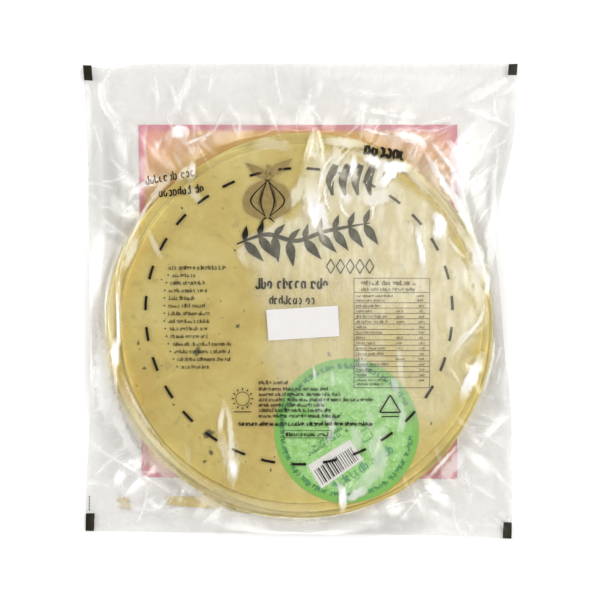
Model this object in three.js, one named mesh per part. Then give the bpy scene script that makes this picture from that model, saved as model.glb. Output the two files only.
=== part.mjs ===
// Sealed clear film bag that holds a stack of thin round flatbreads, lying on its back.
// Millimetres. +X runs to the right of the shown side, +Y to its top edge, +Z up.
// The origin is on the table, under the middle of the bag's box.
// The solid is the outer form of the whole pack: the plateau over the stack, the slope of film
// from the stack's rim to the sealed edge, the pleats in that slope and the loose margins.
import * as THREE from "three";

// Driving dimensions
const BAG_HALF_WIDTH = 103.7;
const BAG_HALF_LENGTH = 113.4;
const STACK_CENTRE = new THREE.Vector2(-0.4, -11.1);
const STACK_RADIUS = 91.6; // reach of the uneven rims, all breads taken together
const STACK_HEIGHT = 10.4;
const FILM_CLEARANCE = 0.7; // air and slack between the top bread and the film
const MARGIN_THICKNESS = 1.0; // the two films of a margin and the air between them
const EDGE_STEP = 4.6; // spacing of the outline's points

// Height of the sealed edge above the table: it hangs at half the stack's height where
// the stack comes close, and sinks where the margin is wide.
const SEAM_HIGH = 4.2;
const SEAM_LOW = 1.5;
const MARGIN_NARROW = 5;
const MARGIN_WIDE = 38;

// Outline of the bag, one list for each edge, from corner to corner. The left and right
// edges are pulled in by the stack, and the top edge steps down beside the left corner.
const TOP_LEFT = [-BAG_HALF_WIDTH, 112.6];
const TOP_RIGHT = [BAG_HALF_WIDTH, 113.2];
const BOTTOM_RIGHT = [100.9, -BAG_HALF_LENGTH];
const BOTTOM_LEFT = [-102.5, -109.7];
const EDGES = {
  top: [TOP_LEFT, [-96, 111.3], [-87, 111.5], [-76, 113.1], [-50, 113.2], [20, BAG_HALF_LENGTH],
    TOP_RIGHT],
  right: [TOP_RIGHT, [101.4, 76], [95.1, 48.5], [92.5, 30.5], [94.9, 6.2], [97.6, -29.4],
    [100.2, -51.3], [100.8, -82], BOTTOM_RIGHT],
  bottom: [BOTTOM_RIGHT, [56.9, -111.4], [9.4, -110.9], [-47.6, -110.2], BOTTOM_LEFT],
  left: [BOTTOM_LEFT, [-101.9, -86], [-100.4, -58], [-99.8, -18.5], [-100.7, 19.5],
    [-101.2, 60], [-102.2, 93], TOP_LEFT],
};

// Rings of the upper film: shares of the stack's radius, then shares of the way from the rim
// to the sealed edge. The underside needs fewer, because it lies flat under the stack.
const PLATEAU_RINGS = [0.3, 0.58, 0.78, 0.9, 0.965, 1];
const SLOPE_RINGS = [0.12, 0.26, 0.4, 0.54, 0.68, 0.82, 0.93, 1];
const UNDERSIDE_REACH = 0.93;
const UNDERSIDE_RINGS = [0.3, 0.6, 1];

// Pleats that fan out from the rim across the wide margins: [count round the rim, size, phase].
const PLEATS = [
  [23, 0.8, 0.4],
  [37, 0.6, 2.1],
  [61, 0.35, 4.0],
];

// Gentle waves of the film over the breads: [length along x, length along y, size, phase].
const WAVES = [
  [120, 150, 0.35, 0.7],
  [74, -61, 0.25, 2.6],
  [39, 47, 0.15, 4.4],
];

// Folds that stand up from the film: from, to, height and half width.
const FOLDS = [
  { from: [-52.9, 110], to: [-62.5, 87], height: 2.2, width: 5 },
  { from: [-95, 108], to: [-86, 86], height: 2.0, width: 5 },
  { from: [-84, 68], to: [-64, 50], height: 1.6, width: 4 },
  { from: [7.5, 86], to: [5.5, 58], height: 1.8, width: 4 },
  { from: [59.7, 74], to: [84, 26], height: 2.0, width: 5 },
  { from: [80, 94], to: [101, 106], height: 1.8, width: 5 },
  { from: [88, 0], to: [70, -29], height: 1.2, width: 5 },
  { from: [-99, -64], to: [-57, -95], height: 1.6, width: 5 },
  { from: [50, -84], to: [54, -101], height: 1.8, width: 5 },
  { from: [20.5, -88], to: [19, -101], height: 1.4, width: 4 },
  { from: [-35, -50], to: [-34.6, -88], height: 0.9, width: 4 },
  { from: [84, -70], to: [99, -55], height: 1.4, width: 5 },
];

// A smooth curve through an edge's points, cut into equal steps, without its last point.
function walkEdge(points) {
  const curve = new THREE.SplineCurve(points.map(([x, y]) => new THREE.Vector2(x, y)));
  const steps = Math.round(curve.getLength() / EDGE_STEP);
  return curve.getSpacedPoints(steps).slice(0, steps);
}

// The whole outline, counter-clockwise seen from above.
function walkOutline() {
  const clockwise = ["top", "right", "bottom", "left"].flatMap((name) => walkEdge(EDGES[name]));
  return clockwise.reverse();
}

function smoothStep(low, high, value) {
  return THREE.MathUtils.smoothstep(value, low, high);
}

// Height that the folds add at a point.
function foldHeight(x, y) {
  let height = 0;
  for (const fold of FOLDS) {
    const from = new THREE.Vector2(...fold.from);
    const along = new THREE.Vector2(...fold.to).sub(from);
    const offset = new THREE.Vector2(x, y).sub(from);
    const share = THREE.MathUtils.clamp(offset.dot(along) / along.lengthSq(), 0, 1);
    const distance = offset.sub(along.multiplyScalar(share)).length();
    const taper = Math.sqrt(Math.sin(Math.PI * THREE.MathUtils.clamp(share, 0.04, 0.96)));
    height += fold.height * taper * Math.max(0, 1 - distance / fold.width);
  }
  return height;
}

function waveHeight(x, y) {
  let height = 0;
  for (const [lengthX, lengthY, size, phase] of WAVES) {
    height += size * Math.sin(2 * Math.PI * (x / lengthX + y / lengthY) + phase);
  }
  return height;
}

function pleatHeight(angle) {
  let height = 0;
  for (const [count, size, phase] of PLEATS) {
    height += size * Math.sin(count * angle + phase);
  }
  return height;
}

// One spoke of the bag: the angle of an outline point seen from the stack, how wide the margin
// is there, and the height of the sealed edge.
function spokeTo(edgePoint) {
  const reach = edgePoint.distanceTo(STACK_CENTRE);
  const angle = edgePoint.clone().sub(STACK_CENTRE).angle();
  const margin = reach - STACK_RADIUS;
  const wide = smoothStep(MARGIN_NARROW, MARGIN_WIDE, margin);
  const ripple = 0.5 * wide * Math.sin(9 * angle + 1) + 0.3 * Math.sin(17 * angle);
  const seam = THREE.MathUtils.lerp(SEAM_HIGH, SEAM_LOW, wide) + ripple;
  return { edgePoint, angle, reach, margin, wide, seam };
}

function pointOnSpoke(spoke, radius) {
  const share = radius / spoke.reach;
  return STACK_CENTRE.clone().lerp(spoke.edgePoint, share);
}

function undersideHeight(spoke, radius) {
  const start = STACK_RADIUS * UNDERSIDE_REACH;
  const share = THREE.MathUtils.clamp((radius - start) / (spoke.reach - start), 0, 1);
  return (spoke.seam - MARGIN_THICKNESS / 2) * Math.pow(share, 1.3);
}

// Height of the upper film: flat over the stack, falling to the sealed edge beyond its rim.
// Where the margin is wide the film drops faster and then lies low.
function filmHeight(spoke, radius) {
  const { x, y } = pointOnSpoke(spoke, radius);
  const top = STACK_HEIGHT + FILM_CLEARANCE;
  const share = THREE.MathUtils.clamp((radius - STACK_RADIUS) / spoke.margin, 0, 1);
  const edge = spoke.seam + MARGIN_THICKNESS / 2;
  const slack = 1.05 + 1.5 * spoke.wide;
  const slope = edge + (top - edge) * Math.pow(1 - share, slack);
  const calm = 1 - smoothStep(0.75, 1, share);
  const pleats = spoke.wide * Math.sin(Math.PI * Math.sqrt(share)) * pleatHeight(spoke.angle);
  const relief = calm * (waveHeight(x, y) + foldHeight(x, y) + pleats);
  return Math.max(slope + relief, undersideHeight(spoke, radius) + MARGIN_THICKNESS);
}

// The bag as one closed mesh: upper film, the edge's thickness and the underside.
function bagGeometry() {
  const spokes = walkOutline().map(spokeTo);
  const count = spokes.length;
  const positions = [];
  const triangles = [];

  const addPoint = (point, height) => positions.push(point.x, point.y, height) / 3 - 1;
  const addRing = (radiusOf, heightOf) => {
    const first = positions.length / 3;
    spokes.forEach((spoke) => {
      const radius = radiusOf(spoke);
      addPoint(pointOnSpoke(spoke, radius), heightOf(spoke, radius));
    });
    return first;
  };
  const joinRings = (inner, outer, upward) => {
    for (let i = 0; i < count; i += 1) {
      const j = (i + 1) % count;
      const quad = [inner + i, outer + i, outer + j, inner + j];
      if (!upward) quad.reverse();
      triangles.push(quad[0], quad[1], quad[2], quad[0], quad[2], quad[3]);
    }
  };
  const closeRing = (ring, height, upward) => {
    const middle = addPoint(STACK_CENTRE, height);
    for (let i = 0; i < count; i += 1) {
      const j = (i + 1) % count;
      if (upward) triangles.push(middle, ring + i, ring + j);
      else triangles.push(middle, ring + j, ring + i);
    }
  };

  const upper = [
    ...PLATEAU_RINGS.map((share) => addRing(() => share * STACK_RADIUS, filmHeight)),
    ...SLOPE_RINGS.map((share) =>
      addRing((spoke) => STACK_RADIUS + share * spoke.margin, filmHeight)),
  ];
  const start = STACK_RADIUS * UNDERSIDE_REACH;
  const lower = [
    addRing(() => start, () => 0),
    ...UNDERSIDE_RINGS.map((share) =>
      addRing((spoke) => start + share * (spoke.reach - start), undersideHeight)),
  ];
  upper.slice(1).forEach((ring, i) => joinRings(upper[i], ring, true));
  lower.slice(1).forEach((ring, i) => joinRings(lower[i], ring, false));
  joinRings(upper.at(-1), lower.at(-1), true);
  const middleHeight = STACK_HEIGHT + FILM_CLEARANCE + waveHeight(STACK_CENTRE.x, STACK_CENTRE.y);
  closeRing(upper[0], middleHeight, true);
  closeRing(lower[0], 0, false);

  const geometry = new THREE.BufferGeometry();
  geometry.setAttribute("position", new THREE.Float32BufferAttribute(positions, 3));
  geometry.setIndex(triangles);
  geometry.computeVertexNormals();
  return geometry;
}

const bagMaterial = new THREE.MeshStandardMaterial({
  color: 0xc4b87a,
  roughness: 0.25,
  metalness: 0,
});

const bag = new THREE.Mesh(bagGeometry(), bagMaterial);
bag.name = "bag";

const pack = new THREE.Group();
pack.name = "sealed_pack";
pack.add(bag);

export default pack;
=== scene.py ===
"""Looks of a sealed clear film bag that holds a stack of thin round flatbreads.

The film is two wrinkled sheets that meet along the bag's outline. Between them lie a paper
card, the stack, a round label and some broken bits. The print on the film follows its folds.
Sizes and places are in millimetres in the part's frame, and become metres as meshes are made.
"""
import math

import bpy
import numpy as np
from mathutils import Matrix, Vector, noise
from mathutils.bvhtree import BVHTree
from mathutils.geometry import delaunay_2d_cdt


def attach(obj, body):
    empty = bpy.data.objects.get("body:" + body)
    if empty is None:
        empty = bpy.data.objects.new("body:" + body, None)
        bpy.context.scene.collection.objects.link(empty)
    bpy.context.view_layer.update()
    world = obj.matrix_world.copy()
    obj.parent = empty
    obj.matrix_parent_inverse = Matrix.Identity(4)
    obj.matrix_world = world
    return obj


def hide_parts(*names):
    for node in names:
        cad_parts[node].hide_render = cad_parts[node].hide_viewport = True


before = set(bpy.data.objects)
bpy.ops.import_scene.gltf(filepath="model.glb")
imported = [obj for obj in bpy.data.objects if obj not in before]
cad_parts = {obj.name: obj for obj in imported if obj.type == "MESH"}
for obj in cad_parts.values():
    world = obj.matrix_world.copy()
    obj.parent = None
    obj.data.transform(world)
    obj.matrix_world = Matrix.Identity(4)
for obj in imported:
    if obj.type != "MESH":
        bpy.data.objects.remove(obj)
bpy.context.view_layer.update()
MM = 0.001

# Driving dimensions, as in the part
BAG_HALF_WIDTH = 103.7
BAG_HALF_LENGTH = 113.4
STACK_CENTRE = np.array([-0.4, -11.1])
STACK_RADIUS = 91.6
STACK_HEIGHT = 10.4
FILM_CLEARANCE = 0.7
SEAM_HIGH = 4.2
SEAM_LOW = 1.5
MARGIN_NARROW = 5.0
MARGIN_WIDE = 38.0
LABEL_CENTRE = (21.9, -61.4)
LABEL_RADIUS = 34.3

# Outline of the bag, one list of points for each edge
TOP_LEFT = (-BAG_HALF_WIDTH, 112.6)
TOP_RIGHT = (BAG_HALF_WIDTH, 113.2)
BOTTOM_RIGHT = (100.9, -BAG_HALF_LENGTH)
BOTTOM_LEFT = (-102.5, -109.7)
TOP_EDGE = [TOP_LEFT, (-96, 111.3), (-87, 111.5), (-76, 113.1), (-50, 113.2), (20, BAG_HALF_LENGTH),
            TOP_RIGHT]
RIGHT_EDGE = [TOP_RIGHT, (101.4, 76), (95.1, 48.5), (92.5, 30.5), (94.9, 6.2), (97.6, -29.4),
              (100.2, -51.3), (100.8, -82), BOTTOM_RIGHT]
BOTTOM_EDGE = [BOTTOM_RIGHT, (56.9, -111.4), (9.4, -110.9), (-47.6, -110.2), BOTTOM_LEFT]
LEFT_EDGE = [BOTTOM_LEFT, (-101.9, -86), (-100.4, -58), (-99.8, -18.5), (-100.7, 19.5),
             (-101.2, 60), (-102.2, 93), TOP_LEFT]

# Film sheets
FRONT_CELLS = (276, 302)
BACK_CELLS = (138, 151)
FLOOR_GAP = 0.04
BACK_FLAT_SHARE = 0.965  # of the stack's radius, where the back film lies on the table
BACK_CURVE = 1.9
SMALL_FOLD_COUNT = 115
FACET_COUNT = 900
PLEATS = [(23, 0.8, 0.4), (37, 0.6, 2.1), (61, 0.35, 4.0)]  # count round the rim, size, phase

# Folds of the front film: path, height, half width, and how sharp the crest is (0 to 1)
FOLDS = [
    # cone and streak at the top of the stack
    ([(7, 84), (4.5, 74), (1.3, 62)], 0.9, 2.2, 1),
    ([(7, 84), (9, 74), (10.6, 62)], 0.8, 2, 1),
    ([(1, 60), (1.5, 52), (2.7, 45.6), (6, 37.5), (11.7, 24.7)], 0.9, 5, 0.3),
    ([(20, 69), (12, 61), (8.5, 49), (6, 38)], 0.7, 1.8, 1),
    ([(23, 68), (16, 58), (12.5, 47)], 0.6, 1.8, 1),
    ([(37, 66), (31, 55), (27, 45)], 0.8, 3, 0.6),
    ([(41, 62), (38, 50), (31, 40), (26, 30)], 0.6, 3, 0.6),
    # raised patches at the upper right
    ([(31, 64), (42, 67), (54, 64)], 1.1, 6, 0.2),
    ([(38, 80), (50, 81.5), (58, 77)], 1.2, 4, 0.3),
    ([(57, 79), (55, 72), (53.5, 67)], 0.8, 2.4, 0.8),
    # long folds outside the upper right rim
    ([(62.3, 75.6), (74, 59.9), (82.9, 31.4), (85.8, 22.2)], 1.6, 4, 0.7),
    ([(59.4, 70.6), (66, 60), (72.2, 48.5), (75.1, 42.1)], 0.9, 2.2, 1),
    # streaks on the right half
    ([(56.4, 40.4), (57.5, 26), (60.2, 11.4)], 0.8, 4, 0.4),
    ([(63, 42), (66.5, 35), (65.5, 26)], 0.8, 4, 0.4),
    ([(75, 16.5), (82, 18), (90, 15.7)], 0.7, 3, 0.8),
    ([(77.5, 17), (77, 10), (79, 4)], 0.6, 2.6, 0.6),
    ([(85, 16), (86.5, 9), (88.5, 1)], 0.7, 2.6, 0.6),
    ([(87.4, 3.6), (86, -12.5), (77.8, -15.7), (69.7, -27.7), (70.2, -33)], 0.75, 2.8, 0.8),
    ([(86, -25), (78, -29), (80.5, -37), (84, -46)], 1.1, 3.4, 0.4),
    # streak at the lower left of the stack
    ([(-37.2, -47.8), (-38, -59), (-34.8, -71), (-31.5, -88)], 0.5, 2, 0.8),
    ([(-34.8, -50.2), (-32.3, -63), (-29.2, -74.3), (-31.5, -88.7)], 0.55, 2.2, 0.8),
    # lines along the left rim
    ([(-87.7, 22), (-91.8, 7.6), (-92.1, -6.8), (-89.8, -20.5), (-88.2, -27), (-88.2, -48)],
     0.8, 1.6, 1),
    ([(-61.9, 59.9), (-67.6, 53.7), (-77.6, 35.6), (-83.4, 22.8), (-86.1, 10.2), (-85.4, -18.9),
      (-87.4, -26), (-87.7, -47.8)], 0.7, 1.5, 1),
    ([(-80.5, -34), (-78.9, -53.4), (-68.5, -68.7), (-50.8, -83.1), (-38, -91)], 0.5, 1.5, 1),
    ([(-86.2, -48.6), (-75.7, -67.1), (-62.1, -80.7), (-50.8, -87.1)], 0.8, 1.8, 1),
    # lower left margin
    ([(-100.8, -66.5), (-91.3, -73.6), (-74.2, -83.1), (-57.1, -94)], 1.6, 4, 1),
    ([(-87.7, -95.1), (-76.5, -99.2), (-62.1, -99.2)], 0.9, 2.5, 1),
    ([(-86.2, -80.7), (-83.7, -92.7)], 0.5, 2.5, 1),
    # bottom margin
    ([(24, -84.7), (21.6, -91.1), (19.1, -99.8)], 1.3, 2.6, 0.8),
    ([(54, -84), (57, -93.5), (60, -103)], 1.5, 3.5, 1),
    ([(63.3, -88.7), (57, -93.5), (47.3, -103.9)], 1, 2.5, 1),
    ([(70, -92), (57, -93.5), (40, -98)], 0.8, 2, 1),
    ([(84, -70), (92, -62), (99, -55)], 1.2, 4, 0.8),
    # upper left corner and top margin
    ([(-51.5, 112), (-55.8, 99), (-62.9, 86.2)], 1.4, 4, 1),
    ([(-89.9, 110.5), (-94.2, 102.6), (-92.8, 93.4), (-86.4, 86.2)], 1.7, 4, 1),
    ([(-84, 52), (-74, 54), (-65, 60)], 0.6, 2.6, 0.5),
    ([(-84.5, 42), (-76.4, 48)], 1, 2.5, 0.7),
    ([(-42, 79), (-47, 77), (-54.3, 73.5)], 0.7, 1.6, 1),
    ([(-63.6, 71.3), (-61.5, 79.9), (-57.2, 81.8), (-54.3, 79.9), (-54, 74.2)], 1.2, 2.2, 0.6),
    ([(-67.5, 72), (-65.7, 78)], 0.5, 1.8, 1),
    ([(18.9, 99.8), (33, 98.5), (47.3, 97.6)], 0.9, 2.5, 1),
    ([(27.4, 91.2), (41, 88.5), (55.9, 86.9)], 0.9, 2.5, 1),
    ([(73.7, 92.6), (86, 99.5), (99, 107)], 1.6, 4, 1),
    ([(75.8, 93.4), (86.5, 88.4), (101, 83.4)], 1.1, 3, 1),
    ([(92.2, 67), (91.5, 50), (91, 33)], 1, 3, 0.8),
]

# Painted highlights: white streaks and patches laid into the film's milkiness where its crumpled creases
# catch light, some also laid over shadows to lighten them: path, half width and strength
GLARES = [
    # cone and streak at the top of the stack
    ([(7, 83.1), (4.6, 74.1), (2.2, 66)], 1.4, 0.45),
    ([(7.5, 83.1), (9.8, 75.1), (11.7, 67.9)], 1.2, 0.45),
    ([(2.7, 68.4), (6, 69.4), (9.8, 67)], 2.2, 0.5),
    ([(7.5, 80), (6.8, 74), (6.5, 67)], 3.4, 0.42),
    ([(3.7, 52.7), (5.1, 44.2), (6.5, 38.5), (10.3, 31.4), (12.2, 23.3)], 2.3, 0.75),
    ([(24.6, 75.1), (17.9, 70.3), (14.6, 62.2), (10.3, 44.2)], 1.3, 0.5),
    ([(28.4, 73.2), (22.2, 67.9), (17.9, 58.4), (14.6, 49.9)], 1.2, 0.4),
    ([(-8, 41), (-13.5, 33), (-20, 26)], 3, 0.35),
    ([(-22, 28.5), (-28, 22.5), (-24, 15.5)], 2.4, 0.32),
    ([(2, 60), (-1, 51), (-7, 44)], 3.6, 0.45),
    ([(-22, 73), (-12, 74.5), (-4, 72)], 3.6, 0.22),
    ([(16, 74), (17.5, 68.5), (14, 62)], 3.4, 0.5),
    ([(-9, 24), (-4, 27.5), (3, 26)], 3.4, 0.36),
    # patches at the upper right
    ([(14.5, 63.5), (19.5, 60.5), (24, 55)], 3.8, 0.6),
    ([(5, 62), (6, 48), (10, 36), (14, 22)], 6.5, 0.6),
    ([(24, 51), (36, 49), (47, 54)], 6, 0.55),
    ([(11.5, 57), (12, 48), (15, 41)], 0.7, 0.75),
    ([(18.5, 49.5), (20, 43), (24.5, 38.5)], 0.7, 0.7),
    ([(31, 49), (34.5, 43), (33, 37)], 0.8, 0.7),
    ([(26, 70.8), (32.2, 68.4), (37.9, 64.6), (36.4, 56.1), (32.2, 45.6)], 2.6, 0.55),
    ([(36.9, 67), (43.6, 62.2), (40.7, 57.5), (36, 51.8)], 3.4, 0.8),
    ([(25.6, 71), (25.2, 62), (27.5, 52.8)], 2.6, 0.75),
    ([(30, 69.5), (35.5, 65.5), (40, 63.5)], 3.4, 0.8),
    ([(36.5, 62.5), (44, 63.5), (53, 62.5)], 3.6, 0.85),
    ([(21.5, 73.5), (12, 64.5), (9.2, 54), (7.8, 43.5)], 0.9, 0.6),
    ([(25, 73.5), (16.5, 64.5), (11.8, 57)], 0.9, 0.55),
    ([(42.6, 65.1), (48.3, 64.1), (53.5, 63.2)], 1.5, 0.65),
    ([(44.5, 79.3), (52.1, 78.4), (57.8, 75.5), (58.8, 72.2)], 2.5, 0.7),
    ([(58.3, 71.7), (66.4, 58.4), (74.4, 46.6), (80.6, 32.8), (84.9, 21.4)], 2.3, 0.65),
    ([(62.1, 76), (68.7, 67), (75.4, 58.4)], 1.2, 0.6),
    ([(28.4, 82.2), (36.9, 79.8), (43.6, 78.4)], 0.8, 0.5),
    ([(76.8, 75.5), (77.8, 59.9), (77.3, 45.6)], 3.2, 0.5),
    ([(71.5, 72), (74, 62), (72.5, 50)], 3.8, 0.55),
    ([(76.8, 33), (82.5, 25), (85, 16), (84.5, 5)], 4.6, 0.6),
    ([(88, 34), (90.5, 26), (90, 14)], 3, 0.5),
    ([(79, 22), (82.5, 12), (85, 1), (84.5, -8)], 3.4, 0.5),
    ([(11, 75.5), (20, 75), (31, 73.5)], 3.2, 0.5),
    ([(49, 65), (56, 58), (62, 50)], 3.6, 0.36),
    ([(18.5, 57), (21, 50), (24.5, 44)], 3.6, 0.6),
    # streaks on the right half
    ([(73, 39), (76, 33.5), (78.5, 28)], 2.4, 0.35),
    ([(43.5, -35), (45, -40), (46, -45)], 2.4, 0.35),
    ([(55, 66), (64, 57), (72, 46)], 4.5, 0.22),
    ([(56, 60), (68, 47), (78, 28)], 4.5, 0.22),
    ([(61.5, 41), (66, 38), (64.5, 27.5)], 3.6, 0.85),
    ([(54.5, 38), (57, 25), (59.2, 11.9)], 2.1, 0.72),
    ([(52.6, 38.5), (53.1, 29.9)], 1.3, 0.5),
    ([(69.2, 30.9), (74, 24.2), (78.7, 20)], 1.1, 0.5),
    ([(71, 22.5), (76, 12.5), (79.5, 1.5)], 5.5, 0.48),
    ([(78.7, 16.6), (84.4, 17.6), (89.2, 16.6)], 1.8, 0.6),
    ([(79.7, 14.7), (80.6, 7.6), (81.6, 0.5)], 1.3, 0.45),
    ([(86.8, 15.7), (88.7, 9), (87.3, 1.4)], 1.6, 0.65),
    ([(87.7, 3.8), (85.4, -8.1), (79.2, -16.1), (73.5, -23.3), (70.2, -29.4)], 1.2, 0.6),
    ([(69.7, -29.9), (73.5, -35.6), (76.8, -41.3)], 1, 0.4),
    ([(86, -25), (83.5, -31), (79.5, -39), (76.5, -47)], 3.6, 0.72),
    ([(92, -16.1), (90.6, -29), (86.3, -45.1)], 0.9, 0.5),
    ([(27.4, -16.6), (29.5, -27), (30.5, -36)], 2.6, 0.42),
    ([(46.4, -17.6), (47.8, -35.6), (49.3, -43.2)], 2, 0.4),
    # over the label
    ([(6, -29), (7, -38.5)], 1, 0.45),
    ([(14.6, -31.8), (15.5, -41.3)], 1.5, 0.27),
    ([(24.5, -58), (27, -65), (26, -73)], 2.8, 0.27),
    ([(31, -49), (33.5, -56), (32, -63)], 2.4, 0.2),
    ([(23, -29.5), (28, -31), (34, -33)], 2.2, 0.22),
    ([(10.3, -43.2), (9.4, -54.6)], 2.2, 0.3),
    ([(12.5, -52), (14.8, -60), (13, -68)], 2.2, 0.33),
    ([(31, -24), (30.5, -31), (31.5, -38)], 2, 0.3),
    ([(46, -46), (48.5, -55), (46.5, -63)], 2.4, 0.3),
    ([(41, -58), (35.5, -68), (38, -76), (31, -85), (24, -91)], 4.8, 0.27),
    ([(38, -61), (37, -68), (34, -75)], 1.2, 0.4),
    ([(18.4, -86), (20.3, -93.6), (19.8, -99.7)], 2.5, 0.65),
    ([(20.5, -93), (25, -92.5), (32, -88)], 2.8, 0.48),
    # lower left of the stack
    ([(-36.6, -50), (-37.6, -56.5), (-38.2, -63)], 1.5, 0.5),
    ([(-38, -63), (-36, -71), (-33, -79)], 2.8, 0.3),
    ([(-34, -68), (-32.4, -77), (-32, -86)], 4.4, 0.42),
    ([(-32.6, -73), (-31.8, -79), (-31.6, -85)], 2.2, 0.7),
    ([(-36, -47.5), (-33.6, -57), (-32.6, -68), (-31.5, -89)], 2, 0.5),
    ([(-54.3, -66), (-52.9, -74.6), (-53.8, -80.3)], 1.6, 0.12),
    # along the left edge
    ([(-101.5, 106), (-101.2, 84), (-100.3, 62)], 2, 0.35),
    # along the left rim
    ([(-72, 34), (-69, 26.5), (-65.5, 20)], 1.8, 0.3),
    ([(-94, -14), (-93, -42), (-89, -62)], 5.5, 0.42),
    ([(-90, -38), (-87, -54), (-81.5, -67), (-74, -78)], 3.6, 0.42),
    ([(-60.9, 57.5), (-71.4, 46.6), (-78.5, 32.8), (-82.8, 23.3), (-85.6, 12.8)], 0.9, 0.5),
    ([(-77.1, 30.9), (-80.4, 22.3), (-83.7, 14.7)], 2.6, 0.45),
    ([(-85.6, 14.7), (-86.3, 0.5), (-86.1, -18.5), (-87.5, -24.2), (-87.8, -31.8),
      (-86.6, -48)], 0.9, 0.75),
    ([(-87.5, -17.6), (-87.8, -24.2), (-87.1, -31.8)], 2.4, 0.8),
    ([(-84.7, 20.4), (-89, 7.6), (-89.9, -9), (-89.4, -23.3), (-87.5, -39.9),
      (-83.7, -49.4)], 2.6, 0.25),
    ([(-91.3, 8.1), (-92.3, -4.3), (-91.8, -20.9)], 0.6, 0.5),
    ([(-84.7, -33.7), (-79.5, -45.6), (-73.3, -56.5), (-66.6, -66)], 0.8, 0.45),
    ([(-86, -38), (-80, -54), (-70, -68), (-56, -80)], 4.6, 0.27),
    ([(-62, -75), (-43, -89), (-25, -96), (-8, -98.5), (12, -98.5)], 4.2, 0.14),
    # over the card and the margins
    ([(-81.5, 50.5), (-74.5, 55), (-67, 58.5)], 2.1, 0.55),
    ([(-61.9, 79.3), (-58.1, 82.2), (-54.3, 80.8), (-54.8, 76)], 2.2, 0.55),
    ([(-54.8, 74.6), (-47.6, 77.4), (-41.5, 80)], 0.8, 0.5),
    ([(-51, 66.5), (-51.4, 57.5)], 2.3, 0.6),
    ([(-66.2, 78.4), (-68.1, 71.3)], 1, 0.2),
    ([(-81.8, 45.6), (-79.5, 52.7), (-77.1, 58.4)], 1.2, 0.4),
    ([(-95.6, 95.5), (-92.8, 90.3), (-89, 85)], 1, 0.5),
    ([(-93.2, 96.4), (-89.4, 89.8), (-85.6, 86.9)], 1, 0.5),
    ([(60.5, -84), (68, -75.5), (75, -68)], 1.2, 0.6),
    ([(66, -85), (72.5, -78.5), (77.5, -70)], 4.2, 0.42),
    ([(-73, -69), (-66, -79), (-56, -84)], 4.5, 0.33),
    ([(48, 76.5), (53, 77), (57, 74)], 3, 0.5),
    ([(69, 77), (74, 71.5), (77, 64)], 2.4, 0.5),
    ([(-75, -94.5), (-71, -96), (-67, -99)], 2.2, 0.35),
    ([(-66, -78), (-55, -87), (-40, -97), (-25, -102)], 3, 0.3),
    ([(-72, 46), (-66, 54), (-60, 60)], 2.4, 0.35),
    ([(-54, 54), (-50, 50.5), (-47, 46)], 2.6, 0.3),
    ([(-58, 57), (-55, 61), (-52, 64)], 2.4, 0.45),
    ([(-87.5, -95), (-83.5, -97), (-79.5, -98.5)], 3.2, 0.3),
    ([(55.9, -90.7), (57.3, -96.9), (59.2, -102.1)], 2.4, 0.4),
    ([(-61.5, 78.8), (-58, 80), (-54.5, 78.8)], 3.2, 0.75),
    ([(77, 92), (88, 98.5), (100, 106)], 2, 0.28),
    ([(99, 100), (96, 84), (94.5, 66), (92.5, 46)], 6, 0.12),
]
# Left edge of the film's loose part over the stack, from the bottom up
LOOSE_EDGE = [(-15, -45), (-22, 10), (-28, 20), (-27, 30), (-8, 40), (2, 52), (3, 92)]
# Places on the right half where the film lies close and the painted veil is thinned, so it looks clear:
# path and half width
CLEARINGS = [
    ([(58.8, 53.7), (72.1, 37.5), (82.5, 20.4)], 4.6),
    ([(86.3, -16.6), (79.7, -24.2), (73, -31.3)], 3.6),
    ([(89.2, 0.5), (89.6, -18.5), (87.3, -43.2)], 2.2),
    ([(45, 0.5), (43.6, -18.5), (42.6, -32.8)], 5),
]
# Painted shade: grey strips laid into the film's clear colour, with its mirror turned down there too:
# path, half width and strength
SHADES = [
    ([(91.5, 48), (89.8, 30), (92.5, 4)], 4.5, 0.4),
    ([(92.8, 8), (95.5, -29), (97.5, -50)], 4.5, 0.7),
    ([(101, 96), (98.5, 80), (94, 60), (90.5, 40)], 7, 0.4),
    ([(1.5, 112), (2.5, 102), (1.5, 94)], 2.2, 0.35),
    ([(-75, -105.5), (-35, -106.5), (5, -107)], 4.5, 0.25),
    ([(5, -106), (30, -105.5), (62, -107)], 6.5, 0.65),
    ([(-92, 86), (-90, 60), (-88.5, 40), (-90.5, 20), (-93, 4)], 5.5, 0.65),
    ([(-98.5, 90), (-98.5, 50), (-97.5, 10)], 4, 0.3),
    ([(-79, 76), (-79, 65), (-76, 55)], 4.5, 0.55),
    ([(-75, 66), (-70, 62), (-62, 65)], 5, 0.5),
    ([(-48, 83.5), (-30, 83), (-8, 83.5)], 3, 0.4),
    ([(-96, 10), (-98, -10), (-98.5, -35)], 4, 0.3),
]


def smooth_step(low, high, value):
    share = np.clip((value - low) / (high - low), 0, 1)
    return share * share * (3 - 2 * share)


def spline(points, count):
    """A smooth curve through the points, as count points evenly spaced along it."""
    points = np.array(points, float)
    padded = np.vstack([points[:1], points, points[-1:]])
    share = np.linspace(0, 1, 48, endpoint=False)[:, None]
    spans = []
    for p0, p1, p2, p3 in zip(padded, padded[1:], padded[2:], padded[3:]):
        v0, v1 = (p2 - p0) / 2, (p3 - p1) / 2
        cubic = (2 * p1 - 2 * p2 + v0 + v1) * share**3
        square = (-3 * p1 + 3 * p2 - 2 * v0 - v1) * share**2
        spans.append(cubic + square + v0 * share + p1)
    curve = np.vstack(spans + [points[-1:]])
    length = np.concatenate([[0], np.cumsum(np.hypot(*np.diff(curve, axis=0).T))])
    steps = np.linspace(0, length[-1], count)
    return np.column_stack([np.interp(steps, length, curve[:, k]) for k in (0, 1)])


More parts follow.
